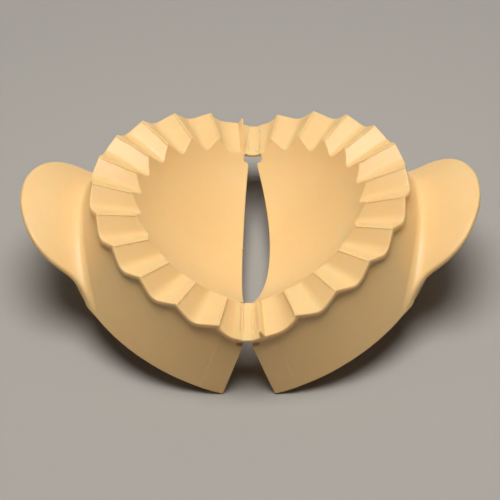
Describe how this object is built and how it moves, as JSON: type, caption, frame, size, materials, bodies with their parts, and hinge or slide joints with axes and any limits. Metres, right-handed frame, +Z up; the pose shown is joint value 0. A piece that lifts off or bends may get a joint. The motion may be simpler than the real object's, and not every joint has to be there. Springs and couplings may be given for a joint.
{
  "type": "empanada press",
  "caption": "Hand-folded pastry press: half bowls with a fluted crimping rim, a flared skirt and paddle handles, joined by film hinges.",
  "frame": {"origin": "middle of the footprint, on the floor under the fold line", "axes": "+X towards the right handle, +Y towards the rear strap along the fold line, +Z up"},
  "size_m": [0.1532, 0.114, 0.0445],
  "materials": {
    "body_plastic": "satin injection-moulded polypropylene, pale apricot",
    "hinge_plastic": "the same polypropylene, thinner, so a little lighter"
  },
  "bodies": {
    "hinge_straps": {"front_hinge_strap": "hinge_plastic", "rear_hinge_strap": "hinge_plastic", "front_left_film_hinge": "hinge_plastic", "front_right_film_hinge": "hinge_plastic", "rear_left_film_hinge": "hinge_plastic", "rear_right_film_hinge": "hinge_plastic"},
    "left_half": {"left_bowl": "body_plastic", "left_crimping_rim": "body_plastic", "left_skirt_wall": "body_plastic", "left_handle": "body_plastic"},
    "right_half": {"right_bowl": "body_plastic", "right_crimping_rim": "body_plastic", "right_skirt_wall": "body_plastic", "right_handle": "body_plastic"}
  },
  "joints": [
    {"name": "left_fold", "type": "hinge", "parent": "hinge_straps", "child": "left_half", "pos_m": [-0.00205, 0, 0.02236], "axis": [0, 1, 0], "range_deg": [-20.3, 69.6], "stiffness_Nm_per_rad": 0.3, "springref_deg": 0.69, "deforming": ["front_left_film_hinge", "rear_left_film_hinge"]},
    {"name": "right_fold", "type": "hinge", "parent": "hinge_straps", "child": "right_half", "pos_m": [0.00205, 0, 0.02236], "axis": [0, -1, 0], "range_deg": [-20.3, 69.6], "stiffness_Nm_per_rad": 0.3, "springref_deg": 0.69, "deforming": ["front_right_film_hinge", "rear_right_film_hinge"]}
  ]
}
